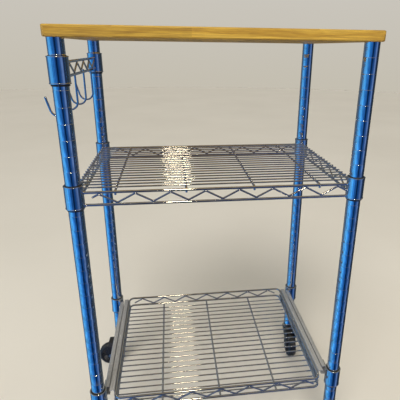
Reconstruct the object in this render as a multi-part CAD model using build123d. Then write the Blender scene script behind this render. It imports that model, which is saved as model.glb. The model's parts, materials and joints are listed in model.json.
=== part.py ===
from build123d import *
import os
from math import ceil, cos, floor, radians, sin, sqrt

# Rolling wire shelf cart: four grooved tube posts carry a wooden top, a hook rail on the
# left side, one fixed wire shelf and a pull-out wire tray on roller slides. Each post
# stands on a swivel caster. Origin: on the floor, at the middle of the cart's footprint.
# X runs left to right, -Y is the front where the tray comes out, +Z is up. Millimetres.

# ---- driving dimensions: layout ----
POST_SPAN_X = 488.0        # post centre to post centre, side to side
POST_SPAN_Y = 326.0        # post centre to post centre, front to back
TOTAL_HEIGHT = 885.0       # floor to the upper face of the wooden top
POST_BOTTOM_Z = 88.0       # lower end of the posts
POST_SEAM_Z = 260.0        # where the upper post sections screw onto the lower ones

# ---- wooden top ----
TOP_SIZE_X = 519.0
TOP_SIZE_Y = 357.0
TOP_THICKNESS = 17.0
TOP_CORNER_RADIUS = 6.0
TOP_EDGE_RADIUS = 2.5

# ---- posts ----
POST_RADIUS = 12.5
POST_WALL = 1.1
GROOVE_PITCH = 25.4
GROOVE_DEPTH = 0.5
GROOVE_HALF_WIDTH = 0.9    # at the post's surface
GROOVE_FLOOR_HALF = 0.35   # at the bottom of the groove
GROOVE_MARGIN = 3.0        # no groove nearer than this to a post section's end
SEAM_GAP = 0.3
PLUG_CLEARANCE = 0.1       # radial, between the tube and what plugs into it
PLUG_LENGTH = 24.0
STUD_RADIUS = 4.0
STUD_IN_WOOD = 11.0
STUD_IN_PLUG = 20.0
CONNECTOR_HALF = 25.0      # how far a post connector reaches each way from the seam

# ---- collars and the split sleeves inside them ----
COLLAR_RADIUS = 15.5
COLLAR_BORE_RADIUS = 14.0
COLLAR_HEIGHT = 40.0
COLLAR_LIP = 0.6           # how far the rolled rims stand out
COLLAR_LIP_HEIGHT = 2.0
SLEEVE_CLEARANCE = 0.02
SLEEVE_BELOW = 3.0         # what shows of a sleeve under its collar
SLEEVE_ABOVE = 0.8
SLEEVE_SPLIT = 1.0         # gap between the two halves
SLEEVE_RIB_RADIUS = 12.15  # the rib that stands in a post groove
SLEEVE_RIB_HALF = 0.3
SLEEVE_RIB_ROOT = 0.1      # how deep the rib's ring reaches into the sleeve

# ---- wire gauges (radii) and welds ----
RIM_WIRE = 2.4
ZIGZAG_WIRE = 1.7
DECK_WIRE = 1.4
CROSS_WIRE = 2.0
HOOK_WIRE = 1.8
WELD = 0.4                 # how deep crossing wires sink into each other at a weld
COLLAR_WELD = 1.0          # how deep a frame wire's end sinks into a collar's wall
ZIGZAG_COLLAR_WELD = 0.4
TRUSS_HEIGHT = 22.0        # rim wire centre to base wire centre
ZIGZAG_HALF_PITCH = 29.75
ZIGZAG_BEND = 4.0
ZIGZAG_BEND_CUT = 0.45     # how far a bend stays inside its corner
CROSS_BEND = 4.0
CROSS_FOOT = 6.5           # how far a shelf cross wire's ends reach below the rim wires

# ---- levels: underside of each set of collars ----
HOOK_COLLAR_Z = 802.0
SHELF_COLLAR_Z = 602.0
SLIDE_COLLAR_Z = 174.0
HOOK_RAIL_WIRE_Z = 8.0     # lower wire of the hook rail, above its collars' underside
SHELF_BASE_WIRE_Z = 4.0    # lower wire of the shelf's trusses, above the same
SHELF_ZIGZAG_START = -216.4   # left end of the front and back zigzags, short of the collar
SHELF_ZIGZAG_PEAK = 33.0      # one of their upper bends
SHELF_DECK_GAPS = 20
SHELF_CROSS_X = (-178.5, -59.5, 59.5, 178.5)

# ---- hooks ----
HOOK_Y = (-120.0, -40.0, 40.0, 120.0)
HOOK_BEND_RADIUS = 14.0
HOOK_CENTRE_Z = 761.0      # centre of the round bend
HOOK_TIP_Z = 777.0
HOOK_FLARE = 15.0          # degrees that the tip leans outwards
HOOK_OVERLAP = 4.0         # how far the shank reaches above the rail's lower wire

# ---- tray ----
TRAY_HALF_X = 211.6        # to the centre of the side wires
TRAY_HALF_Y = 174.0        # to the centre of the front and back wires
TRAY_BASE_Z = 177.0        # centre of the lower frame wire
TRAY_CORNER = 12.0
TRAY_DECK_GAPS = 21
TRAY_ZIGZAG_PEAK = 1.0     # an upper bend of the front and back zigzags
TRAY_CROSS_X = (-119.0, 0.0, 119.0)

# ---- slides: one pair on each side ----
SHEET = 1.2
OUTER_RAIL_X = 234.0       # outer face of the fixed channel's web
OUTER_RAIL_WIDTH = 9.0
OUTER_RAIL_Z = (186.0, 207.0)
OUTER_RAIL_HALF_Y = 150.0
INNER_RAIL_X = 213.6       # inner face of the moving rail's web
INNER_RAIL_WIDTH = 10.0
INNER_RAIL_FOOT = 3.4
INNER_RAIL_Z = (176.0, 206.0)
INNER_RAIL_HALF_Y = 160.0
ROLLER_Y = 138.0           # fixed rollers at -Y, moving rollers at +Y
FIXED_ROLLER_RADIUS = 8.5
FIXED_ROLLER_X = (216.4, 223.2)
MOVING_ROLLER_RADIUS = 9.0
MOVING_ROLLER_X = (226.0, 231.8)
ROLLER_AXLE_RADIUS = 2.5
ROLLER_CHAMFER = 0.6
ROLLER_GAP = 0.05          # radial running clearance and clearance to the track
ROLLER_END_GAP = 0.1       # between a roller and the head of its axle
AXLE_HEAD_RADIUS = 3.7
FIXED_AXLE_HEAD = 0.8      # thickness of the head
MOVING_AXLE_HEAD = 0.4
RIVET_HEAD = 0.8           # how far a rivet stands out of its tab
BRACKET_TAB = 2.0          # thickness of the tab that joins a collar to its rail
BRACKET_Y = (126.0, 151.2)
BRACKET_Z = (188.0, 205.0)
RIVET_RADIUS = 2.0
RIVET_Y = (132.0, 142.0)

# ---- casters (drawn with the wheel trailing towards +X, then turned) ----
CASTER_TRAIL = 30.0
WHEEL_RADIUS = 31.75
WHEEL_HALF_WIDTH = 10.5
WHEEL_BORE_GAP = 0.06
WHEEL_ROUND = 5.0
HUB_RADIUS = 9.0
RECESS_RADIUS = 24.0
RECESS_DEPTH = 4.0
AXLE_RADIUS = 4.0
FORK_INNER = 11.5
FORK_SHEET = 2.0
FORK_TOP_Z = (73.0, 76.5)
FORK_PLATE_END = 20.0               # how far the top plate reaches back
FORK_ARM = (                        # side view of an arm: trail distance and height
    (-11.0, 76.5), (31.0, 76.5), (42.0, 41.75), (37.0, 22.75), (23.0, 22.75), (14.0, 45.75), (-11.0, 68.0),
)
FORK_ARM_ROUND = 3.0
BOLT_HEAD_RADIUS = 6.0              # heads of the wheel's axle bolt
BOLT_HEAD = 2.5
STEM_RADIUS = 5.0
STEM_GAP = 0.06
STEM_Z = (68.5, 108.0)
STEM_WASHER = (8.0, 69.0, 72.6)     # radius, low, high
STEM_CAP = (15.0, 77.0, 80.0)
STEM_NUT = (9.5, 80.0, 85.0)
SOCKET_FLANGE_RADIUS = 13.6
SOCKET_FLANGE_Z = 85.0
CASTER_TURN = {"fl": 180.0, "fr": 0.0, "bl": 180.0, "br": -90.0}
BRAKE_CASTERS = ("fl", "fr")
BRAKE_PIVOT = (26.0, 70.0)          # trail distance and height of the pedal's pin
BRAKE_PIN_RADIUS = 2.0
PEDAL_HALF_WIDTH = 9.0
PEDAL_REACH = 58.0
PEDAL_SHEET = 2.5
PEDAL_BARREL_WALL = 2.5
SHOE_X = (38.0, 44.0)
SHOE_LOW = 65.5

CUT_MARGIN = 1.0                    # how far a cutting shape runs past what it cuts

# ---- derived ----
CORNERS = {
    "fl": (-POST_SPAN_X / 2, -POST_SPAN_Y / 2),
    "fr": (POST_SPAN_X / 2, -POST_SPAN_Y / 2),
    "bl": (-POST_SPAN_X / 2, POST_SPAN_Y / 2),
    "br": (POST_SPAN_X / 2, POST_SPAN_Y / 2),
}
TOP_UNDERSIDE_Z = TOTAL_HEIGHT - TOP_THICKNESS
TUBE_BORE = POST_RADIUS - POST_WALL
PLUG_RADIUS = TUBE_BORE - PLUG_CLEARANCE


# ---------------------------------------------------------------- helpers
def cylinder(radius, low, high, x=0.0, y=0.0):
    """Upright cylinder between two heights."""
    return Pos(x, y, (low + high) / 2) * Cylinder(radius, high - low)


def ring(outer, inner, low, high, x=0.0, y=0.0):
    return cylinder(outer, low, high, x, y) - cylinder(inner, low - CUT_MARGIN, high + CUT_MARGIN, x, y)


def rod_x(radius, x0, x1, y, z):
    """Cylinder along X."""
    return Pos((x0 + x1) / 2, y, z) * Rot(0, 90, 0) * Cylinder(radius, abs(x1 - x0))


def rod_y(radius, y0, y1, x, z):
    """Cylinder along Y."""
    return Pos(x, (y0 + y1) / 2, z) * Rot(90, 0, 0) * Cylinder(radius, abs(y1 - y0))


def block(x, y, z):
    """Box from three (low, high) pairs, in any order."""
    x, y, z = sorted(x), sorted(y), sorted(z)
    size = (x[1] - x[0], y[1] - y[0], z[1] - z[0])
    return Pos(sum(x) / 2, sum(y) / 2, sum(z) / 2) * Box(*size)


def bent_wire(points, radius, bend):
    """Round wire through the points, with every corner bent to one radius."""
    path = FilletPolyline(*points, radius=bend)
    return sweep((path ^ 0) * Circle(radius), path=path)


def group(solids):
    """Separate solids kept together in one node."""
    return Compound([s.solid() for s in solids])


def at_corners(maker):
    return group([maker(x, y) for x, y in CORNERS.values()])


def zigzag_points(start, end, peak, low, high):
    """(position, height) pairs of a zigzag between two cut ends, with an upper bend at the peak."""
    first = ceil((start - peak) / ZIGZAG_HALF_PITCH)
    last = floor((end - peak) / ZIGZAG_HALF_PITCH)
    bends = [peak + k * ZIGZAG_HALF_PITCH for k in range(first, last + 1)]
    points = []
    for position in [start, *bends, end]:
        phase = abs(position - peak) / ZIGZAG_HALF_PITCH % 2
        fall = phase if phase <= 1 else 2 - phase
        points.append((position, high - (high - low) * fall))
    return points


def truss_levels(base_z):
    """Centre heights of a zigzag's lower and upper bends between two frame wires."""
    reach = RIM_WIRE + ZIGZAG_WIRE - WELD - ZIGZAG_BEND_CUT
    return base_z + reach, base_z + TRUSS_HEIGHT - reach


def evenly(half_span, gaps):
    """Positions strictly between -half_span and half_span."""
    return [-half_span + 2 * half_span * k / gaps for k in range(1, gaps)]


# ---------------------------------------------------------------- wooden top
def make_wood_top():
    board = extrude(RectangleRounded(TOP_SIZE_X, TOP_SIZE_Y, TOP_CORNER_RADIUS), TOP_THICKNESS)
    faces = board.faces().sort_by(Axis.Z)
    edges = faces[0].edges() + faces[-1].edges()
    board = Pos(0, 0, TOP_UNDERSIDE_Z) * fillet(edges, TOP_EDGE_RADIUS)
    for x, y in CORNERS.values():
        board -= cylinder(STUD_RADIUS, TOP_UNDERSIDE_Z - CUT_MARGIN, TOP_UNDERSIDE_Z + STUD_IN_WOOD, x, y)
    return board


def make_top_plug(x, y):
    """Plastic plug in a post's upper end, bored for the stud."""
    plug = cylinder(PLUG_RADIUS, TOP_UNDERSIDE_Z - PLUG_LENGTH, TOP_UNDERSIDE_Z, x, y)
    low, high = TOP_UNDERSIDE_Z - STUD_IN_PLUG, TOP_UNDERSIDE_Z + CUT_MARGIN
    return plug - cylinder(STUD_RADIUS, low, high, x, y)


def make_top_stud(x, y):
    low, high = TOP_UNDERSIDE_Z - STUD_IN_PLUG, TOP_UNDERSIDE_Z + STUD_IN_WOOD
    return cylinder(STUD_RADIUS, low, high, x, y)


# ---------------------------------------------------------------- posts
def groove_heights(low, high):
    """Groove centres at the standard pitch, counted from the seam between post sections."""
    first = -int((POST_SEAM_Z - low) // GROOVE_PITCH)
    last = int((high - POST_SEAM_Z) // GROOVE_PITCH)
    levels = [POST_SEAM_Z + k * GROOVE_PITCH for k in range(first, last + 1)]
    return [z for z in levels if low + GROOVE_MARGIN < z < high - GROOVE_MARGIN]


def make_post(low, high, x, y):
    """Tube with a ring groove at every pitch."""
    outline = [(TUBE_BORE, low), (POST_RADIUS, low)]
    for z in groove_heights(low, high):
        bottom = POST_RADIUS - GROOVE_DEPTH
        outline += [
            (POST_RADIUS, z - GROOVE_HALF_WIDTH),
            (bottom, z - GROOVE_FLOOR_HALF),
            (bottom, z + GROOVE_FLOOR_HALF),
            (POST_RADIUS, z + GROOVE_HALF_WIDTH),
        ]
    outline += [(POST_RADIUS, high), (TUBE_BORE, high)]
    profile = Plane.XZ * make_face(Polyline(*outline, close=True))
    return Pos(x, y, 0) * revolve(profile, Axis.Z)


def make_connector(x, y):
    """Solid joiner that both post sections screw onto."""
    return cylinder(PLUG_RADIUS, POST_SEAM_Z - CONNECTOR_HALF, POST_SEAM_Z + CONNECTOR_HALF, x, y)


# ---------------------------------------------------------------- collars and sleeves
def make_collar(low, x, y):
    high = low + COLLAR_HEIGHT
    tube = ring(COLLAR_RADIUS, COLLAR_BORE_RADIUS, low, high, x, y)
    lip = COLLAR_RADIUS + COLLAR_LIP
    tube += ring(lip, COLLAR_BORE_RADIUS, low, low + COLLAR_LIP_HEIGHT, x, y)
    tube += ring(lip, COLLAR_BORE_RADIUS, high - COLLAR_LIP_HEIGHT, high, x, y)
    return tube


def make_sleeve_halves(low, x, y):
    """Two half shells round the post, with a rib in the nearest groove."""
    bottom, top = low - SLEEVE_BELOW, low + COLLAR_HEIGHT + SLEEVE_ABOVE
    outer = COLLAR_BORE_RADIUS - SLEEVE_CLEARANCE
    inner = POST_RADIUS + SLEEVE_CLEARANCE
    sleeve = ring(outer, inner, bottom, top, x, y)
    middle = (bottom + top) / 2
    rib = min(groove_heights(bottom, top), key=lambda z: abs(z - middle))
    root = inner + SLEEVE_RIB_ROOT
    sleeve += ring(root, SLEEVE_RIB_RADIUS, rib - SLEEVE_RIB_HALF, rib + SLEEVE_RIB_HALF, x, y)
    halves = []
    for side in (-1, 1):
        near, far = x + side * SLEEVE_SPLIT / 2, x + side * 2 * COLLAR_RADIUS
        across = (y - COLLAR_RADIUS, y + COLLAR_RADIUS)
        keep = block((near, far), across, (bottom - CUT_MARGIN, top + CUT_MARGIN))
        halves.append(sleeve & keep)
    return halves


def make_sleeves(low, corners):
    halves = []
    for name in corners:
        halves += make_sleeve_halves(low, *CORNERS[name])
    return group(halves)


# ---------------------------------------------------------------- fixed wire shelf
def frame_wires(z):
    """Four straight wires from collar to collar."""
    px, py = POST_SPAN_X / 2, POST_SPAN_Y / 2
    end_x = px - COLLAR_RADIUS + COLLAR_WELD
    end_y = py - COLLAR_RADIUS + COLLAR_WELD
    wires = [rod_x(RIM_WIRE, -end_x, end_x, y, z) for y in (-py, py)]
    wires += [rod_y(RIM_WIRE, -end_y, end_y, x, z) for x in (-px, px)]
    return group(wires)


def make_shelf_zigzags(base_z):
    low, high = truss_levels(base_z)
    px, py = POST_SPAN_X / 2, POST_SPAN_Y / 2
    reach = COLLAR_RADIUS - ZIGZAG_COLLAR_WELD
    long_side = zigzag_points(SHELF_ZIGZAG_START, px - reach, SHELF_ZIGZAG_PEAK, low, high)
    short_side = zigzag_points(reach - py, py - reach, ZIGZAG_HALF_PITCH, low, high)
    wires = [bent_wire([(u, y, z) for u, z in long_side], ZIGZAG_WIRE, ZIGZAG_BEND) for y in (-py, py)]
    wires += [bent_wire([(x, u, z) for u, z in short_side], ZIGZAG_WIRE, ZIGZAG_BEND) for x in (-px, px)]
    return group(wires)


def make_shelf_deck(rim_z):
    """Thin wires across the shelf, welded on top of the side wires."""
    z = rim_z + RIM_WIRE + DECK_WIRE - WELD
    end_x = POST_SPAN_X / 2 + RIM_WIRE
    return group([rod_x(DECK_WIRE, -end_x, end_x, y, z) for y in evenly(POST_SPAN_Y / 2, SHELF_DECK_GAPS)])


def make_shelf_cross_wires(rim_z):
    """Stiffeners under the deck, their ends bent down and welded behind the rim wires."""
    z = rim_z + RIM_WIRE - CROSS_WIRE
    foot = rim_z - CROSS_FOOT
    bend_to_rim = CROSS_BEND + CROSS_WIRE + RIM_WIRE - WELD
    bend_below_rim = rim_z - (z - CROSS_BEND)
    y = POST_SPAN_Y / 2 - sqrt(bend_to_rim**2 - bend_below_rim**2) + CROSS_BEND
    wires = []
    for x in SHELF_CROSS_X:
        points = [(x, -y, foot), (x, -y, z), (x, y, z), (x, y, foot)]
        wires.append(bent_wire(points, CROSS_WIRE, CROSS_BEND))
    return group(wires)


# ---------------------------------------------------------------- hook rail
def rail_wire(z):
    end_y = POST_SPAN_Y / 2 - COLLAR_RADIUS + COLLAR_WELD
    return rod_y(RIM_WIRE, -end_y, end_y, -POST_SPAN_X / 2, z)


def make_rail_zigzag(base_z):
    low, high = truss_levels(base_z)
    half = POST_SPAN_Y / 2 - COLLAR_RADIUS + ZIGZAG_COLLAR_WELD
    points = zigzag_points(-half, half, ZIGZAG_HALF_PITCH, low, high)
    return bent_wire([(-POST_SPAN_X / 2, u, z) for u, z in points], ZIGZAG_WIRE, ZIGZAG_BEND)


def make_hook(y, base_z):
    """J-shaped wire on the outside of the rail, its tip pointing up and outwards."""
    shank_x = -POST_SPAN_X / 2 - RIM_WIRE - HOOK_WIRE + WELD
    centre_x = shank_x - HOOK_BEND_RADIUS
    flare = radians(HOOK_FLARE)
    leave_x = centre_x - HOOK_BEND_RADIUS * cos(flare)
    leave_z = HOOK_CENTRE_Z - HOOK_BEND_RADIUS * sin(flare)
    rise = HOOK_TIP_Z - leave_z
    tip = (leave_x - rise * sin(flare) / cos(flare), y, HOOK_TIP_Z)
    shank = Line((shank_x, y, base_z + HOOK_OVERLAP), (shank_x, y, HOOK_CENTRE_Z))
    half_turn = radians(180 - HOOK_FLARE) / 2
    middle_x = centre_x + HOOK_BEND_RADIUS * cos(half_turn)
    middle_z = HOOK_CENTRE_Z - HOOK_BEND_RADIUS * sin(half_turn)
    bend = ThreePointArc((shank_x, y, HOOK_CENTRE_Z), (middle_x, y, middle_z), (leave_x, y, leave_z))
    end = Line((leave_x, y, leave_z), tip)
    path = Wire([shank.edge(), bend.edge(), end.edge()])
    hook = sweep((path ^ 0) * Circle(HOOK_WIRE), path=path)
    return hook + Pos(*tip) * Sphere(HOOK_WIRE)


# ---------------------------------------------------------------- slides
def make_slide_collar(x, y):
    """Collar with a flat tab that the fixed rail is riveted to."""
    side_x, side_y = (1 if x > 0 else -1), (1 if y > 0 else -1)
    collar = make_collar(SLIDE_COLLAR_Z, x, y)
    tab_x = (side_x * OUTER_RAIL_X, side_x * (OUTER_RAIL_X + BRACKET_TAB))
    tab_y = (side_y * BRACKET_Y[0], side_y * BRACKET_Y[1])
    return collar + block(tab_x, tab_y, BRACKET_Z)


def make_rivets():
    """Flush rivets through the rails' webs and the tabs."""
    z = sum(BRACKET_Z) / 2
    rivets = []
    for side_x in (-1, 1):
        x0 = side_x * (OUTER_RAIL_X - SHEET)
        x1 = side_x * (OUTER_RAIL_X + BRACKET_TAB + RIVET_HEAD)
        for side_y in (-1, 1):
            rivets += [rod_x(RIVET_RADIUS, x0, x1, side_y * y, z) for y in RIVET_Y]
    return group(rivets)


def make_outer_rail(side):
    """Fixed channel, open towards the tray."""
    y = (-OUTER_RAIL_HALF_Y, OUTER_RAIL_HALF_Y)
    outer, lip = side * OUTER_RAIL_X, side * (OUTER_RAIL_X - OUTER_RAIL_WIDTH)
    low, high = OUTER_RAIL_Z
    rail = block((outer, outer - side * SHEET), y, (low, high))
    rail += block((outer, lip), y, (low, low + SHEET))
    rail += block((outer, lip), y, (high - SHEET, high))
    return rail


def make_inner_rail(side):
    """Moving rail: a web against the tray, a flange over the fixed roller and a short foot."""
    y = (-INNER_RAIL_HALF_Y, INNER_RAIL_HALF_Y)
    web = side * INNER_RAIL_X
    low, high = INNER_RAIL_Z
    rail = block((web, web + side * SHEET), y, (low, high))
    rail += block((web, web + side * INNER_RAIL_WIDTH), y, (high - SHEET, high))
    rail += block((web, web + side * INNER_RAIL_FOOT), y, (low, low + SHEET))
    return rail


def fixed_roller_z():
    return INNER_RAIL_Z[1] - SHEET - FIXED_ROLLER_RADIUS - ROLLER_GAP


def moving_roller_z():
    return OUTER_RAIL_Z[0] + SHEET + MOVING_ROLLER_RADIUS + ROLLER_GAP


def make_roller(side, span, radius, y, z):
    x0, x1 = side * span[0], side * span[1]
    roller = rod_x(radius, x0, x1, y, z)
    roller = chamfer(roller.edges().filter_by(GeomType.CIRCLE), ROLLER_CHAMFER)
    over = side * CUT_MARGIN
    return roller - rod_x(ROLLER_AXLE_RADIUS + ROLLER_GAP, x0 - over, x1 + over, y, z)


def make_fixed_axle(side):
    """Pin from the fixed web, with a thin head that keeps the roller on."""
    y, z = -ROLLER_Y, fixed_roller_z()
    inner = side * (FIXED_ROLLER_X[0] - ROLLER_END_GAP)
    pin = rod_x(ROLLER_AXLE_RADIUS, side * (OUTER_RAIL_X - SHEET), inner, y, z)
    return pin + rod_x(AXLE_HEAD_RADIUS, inner, inner - side * FIXED_AXLE_HEAD, y, z)


def make_moving_axle(side):
    y, z = ROLLER_Y, moving_roller_z()
    outer = side * (MOVING_ROLLER_X[1] + ROLLER_END_GAP)
    pin = rod_x(ROLLER_AXLE_RADIUS, side * (INNER_RAIL_X + SHEET), outer, y, z)
    return pin + rod_x(AXLE_HEAD_RADIUS, outer, outer + side * MOVING_AXLE_HEAD, y, z)


# ---------------------------------------------------------------- tray
def tray_loop(z):
    """Frame wire that runs all the way round, with rounded corners."""
    path = Pos(0, 0, z) * RectangleRounded(2 * TRAY_HALF_X, 2 * TRAY_HALF_Y, TRAY_CORNER).wire()
    return sweep((path ^ 0) * Circle(RIM_WIRE), path=path)


def make_tray_zigzags():
    low, high = truss_levels(TRAY_BASE_Z)
    half_x, half_y = TRAY_HALF_X - TRAY_CORNER, TRAY_HALF_Y - TRAY_CORNER
    long_side = zigzag_points(-half_x, half_x, TRAY_ZIGZAG_PEAK, low, high)
    short_side = zigzag_points(-half_y, half_y, 0, low, high)
    wires = []
    for side in (-1, 1):
        y, x = side * TRAY_HALF_Y, side * TRAY_HALF_X
        wires.append(bent_wire([(u, y, z) for u, z in long_side], ZIGZAG_WIRE, ZIGZAG_BEND))
        wires.append(bent_wire([(x, u, z) for u, z in short_side], ZIGZAG_WIRE, ZIGZAG_BEND))
    return group(wires)


def tray_deck_z():
    return TRAY_BASE_Z - RIM_WIRE - DECK_WIRE + WELD


def make_tray_deck():
    """Thin wires that the tray's load lies on, welded under the side wires."""
    end_x = TRAY_HALF_X + RIM_WIRE
    rows = evenly(TRAY_HALF_Y, TRAY_DECK_GAPS)
    return group([rod_x(DECK_WIRE, -end_x, end_x, y, tray_deck_z()) for y in rows])


def make_tray_cross_wires():
    """Stiffeners over the deck, butted against the lower frame wire and welded to it."""
    z = tray_deck_z() + DECK_WIRE + CROSS_WIRE - WELD
    end_y = TRAY_HALF_Y - RIM_WIRE + WELD
    return group([rod_y(CROSS_WIRE, -end_y, end_y, x, z) for x in TRAY_CROSS_X])


# ---------------------------------------------------------------- casters
def place(shape, corner):
    """Put a caster piece under its post, turned to where its wheel trails."""
    x, y = CORNERS[corner]
    return Pos(x, y, 0) * Rot(0, 0, CASTER_TURN[corner]) * shape


def make_socket(x, y):
    """Plastic insert in a post's lower end, bored for the caster's stem."""
    socket = cylinder(PLUG_RADIUS, POST_BOTTOM_Z, POST_BOTTOM_Z + PLUG_LENGTH, x, y)
    socket += cylinder(SOCKET_FLANGE_RADIUS, SOCKET_FLANGE_Z, POST_BOTTOM_Z, x, y)
    return socket - cylinder(STEM_RADIUS, SOCKET_FLANGE_Z - CUT_MARGIN, STEM_Z[1], x, y)


def make_stem(x, y):
    """Threaded stem with its nut, bearing cap and riveted washer."""
    stem = cylinder(STEM_RADIUS, *STEM_Z, x, y)
    for radius, low, high in (STEM_WASHER, STEM_CAP, STEM_NUT):
        stem += cylinder(radius, low, high, x, y)
    return stem


def make_fork(with_brake):
    """Sheet steel fork: a round top plate and two arms that slant back to the axle."""
    outer = FORK_INNER + FORK_SHEET
    low, high = FORK_TOP_Z
    plate = cylinder(outer, low, high) + block((0, FORK_PLATE_END), (-outer, outer), (low, high))
    arm_face = Plane.XZ * fillet(make_face(Polyline(*FORK_ARM, close=True)).vertices(), FORK_ARM_ROUND)
    for side in (-1, 1):
        arm = extrude(arm_face, FORK_SHEET / 2, both=True)
        plate += Pos(0, side * (FORK_INNER + FORK_SHEET / 2), 0) * arm
    plate -= cylinder(STEM_RADIUS + STEM_GAP, low - CUT_MARGIN, high + CUT_MARGIN)
    half = outer + CUT_MARGIN
    plate -= rod_y(AXLE_RADIUS, -half, half, CASTER_TRAIL, WHEEL_RADIUS)
    if with_brake:
        x, z = BRAKE_PIVOT
        plate += rod_y(BRAKE_PIN_RADIUS, -outer, outer, x, z)
    return plate


def make_axle():
    """Axle bolt with a round head on each side of the fork."""
    outer = FORK_INNER + FORK_SHEET
    axle = rod_y(AXLE_RADIUS, -outer, outer, CASTER_TRAIL, WHEEL_RADIUS)
    for side in (-1, 1):
        axle += rod_y(BOLT_HEAD_RADIUS, side * outer, side * (outer + BOLT_HEAD), CASTER_TRAIL, WHEEL_RADIUS)
    return axle


def make_wheel():
    """Moulded wheel: rounded tread, recessed sides and a hub."""
    wheel = rod_y(WHEEL_RADIUS, -WHEEL_HALF_WIDTH, WHEEL_HALF_WIDTH, 0, 0)
    wheel = fillet(wheel.edges().filter_by(GeomType.CIRCLE), WHEEL_ROUND)
    for side in (-1, 1):
        y0, y1 = side * (WHEEL_HALF_WIDTH - RECESS_DEPTH), side * (WHEEL_HALF_WIDTH + CUT_MARGIN)
        over = side * CUT_MARGIN
        recess = rod_y(RECESS_RADIUS, y0, y1, 0, 0) - rod_y(HUB_RADIUS, y0 - over, y1 + over, 0, 0)
        wheel -= recess
    half = WHEEL_HALF_WIDTH + CUT_MARGIN
    wheel -= rod_y(AXLE_RADIUS + WHEEL_BORE_GAP, -half, half, 0, 0)
    return Pos(CASTER_TRAIL, 0, WHEEL_RADIUS) * wheel


def make_pedal():
    """Brake pedal on a pin above the wheel: a barrel, a tread plate and a brake shoe."""
    x, z = BRAKE_PIVOT
    width = (-PEDAL_HALF_WIDTH, PEDAL_HALF_WIDTH)
    barrel_radius = BRAKE_PIN_RADIUS + PEDAL_BARREL_WALL
    tread_top = z + barrel_radius
    pedal = rod_y(barrel_radius, *width, x, z)
    pedal += block((x, PEDAL_REACH), width, (tread_top - PEDAL_SHEET, tread_top))
    pedal += block(SHOE_X, width, (SHOE_LOW, tread_top - PEDAL_SHEET / 2))
    half = PEDAL_HALF_WIDTH + CUT_MARGIN
    return pedal - rod_y(BRAKE_PIN_RADIUS + WHEEL_BORE_GAP, -half, half, x, z)


# ---------------------------------------------------------------- every node
shelf_base_z = SHELF_COLLAR_Z + SHELF_BASE_WIRE_Z
shelf_rim_z = shelf_base_z + TRUSS_HEIGHT
hook_base_z = HOOK_COLLAR_Z + HOOK_RAIL_WIRE_Z
left_corners = ("fl", "bl")

nodes = {
    "wood_top": make_wood_top(),
    "top_plugs": at_corners(make_top_plug),
    "top_studs": at_corners(make_top_stud),
    "post_connectors": at_corners(make_connector),
    "shelf_collars": at_corners(lambda x, y: make_collar(SHELF_COLLAR_Z, x, y)),
    "shelf_sleeves": make_sleeves(SHELF_COLLAR_Z, CORNERS),
    "shelf_rim_wires": frame_wires(shelf_rim_z),
    "shelf_base_wires": frame_wires(shelf_base_z),
    "shelf_zigzag_wires": make_shelf_zigzags(shelf_base_z),
    "shelf_deck_wires": make_shelf_deck(shelf_rim_z),
    "shelf_cross_wires": make_shelf_cross_wires(shelf_rim_z),
    "hook_rail_collars": group([make_collar(HOOK_COLLAR_Z, *CORNERS[c]) for c in left_corners]),
    "hook_rail_sleeves": make_sleeves(HOOK_COLLAR_Z, left_corners),
    "hook_rail_upper_wire": rail_wire(hook_base_z + TRUSS_HEIGHT),
    "hook_rail_lower_wire": rail_wire(hook_base_z),
    "hook_rail_zigzag": make_rail_zigzag(hook_base_z),
    "hooks": group([make_hook(y, hook_base_z) for y in HOOK_Y]),
    "slide_collars": at_corners(make_slide_collar),
    "slide_sleeves": make_sleeves(SLIDE_COLLAR_Z, CORNERS),
    "slide_rivets": make_rivets(),
    "fixed_roller_pins": group([make_fixed_axle(side) for side in (-1, 1)]),
    "moving_roller_pins": group([make_moving_axle(side) for side in (-1, 1)]),
    "tray_rim_wire": tray_loop(TRAY_BASE_Z + TRUSS_HEIGHT),
    "tray_base_wire": tray_loop(TRAY_BASE_Z),
    "tray_zigzag_wires": make_tray_zigzags(),
    "tray_deck_wires": make_tray_deck(),
    "tray_cross_wires": make_tray_cross_wires(),
    "caster_sockets": at_corners(make_socket),
    "caster_stems": at_corners(make_stem),
}
for corner, (post_x, post_y) in CORNERS.items():
    seam_low, seam_high = POST_SEAM_Z - SEAM_GAP / 2, POST_SEAM_Z + SEAM_GAP / 2
    nodes["post_lower_" + corner] = make_post(POST_BOTTOM_Z, seam_low, post_x, post_y)
    nodes["post_upper_" + corner] = make_post(seam_high, TOP_UNDERSIDE_Z, post_x, post_y)
    nodes["caster_fork_" + corner] = place(make_fork(corner in BRAKE_CASTERS), corner)
    nodes["caster_axle_" + corner] = place(make_axle(), corner)
    nodes["caster_wheel_" + corner] = place(make_wheel(), corner)
for corner in BRAKE_CASTERS:
    nodes["brake_pedal_" + corner] = place(make_pedal(), corner)
for label, side in (("left", -1), ("right", 1)):
    nodes["outer_rail_" + label] = make_outer_rail(side)
    nodes["inner_rail_" + label] = make_inner_rail(side)
    nodes["fixed_roller_" + label] = make_roller(
        side, FIXED_ROLLER_X, FIXED_ROLLER_RADIUS, -ROLLER_Y, fixed_roller_z())
    nodes["moving_roller_" + label] = make_roller(
        side, MOVING_ROLLER_X, MOVING_ROLLER_RADIUS, ROLLER_Y, moving_roller_z())

os.makedirs("parts", exist_ok=True)
for name, shape in nodes.items():
    export_step(shape, "parts/" + name + ".step")
print(len(nodes), "nodes")
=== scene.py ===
import json
import math

import bmesh
import bpy
from mathutils import Matrix, Vector


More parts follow.
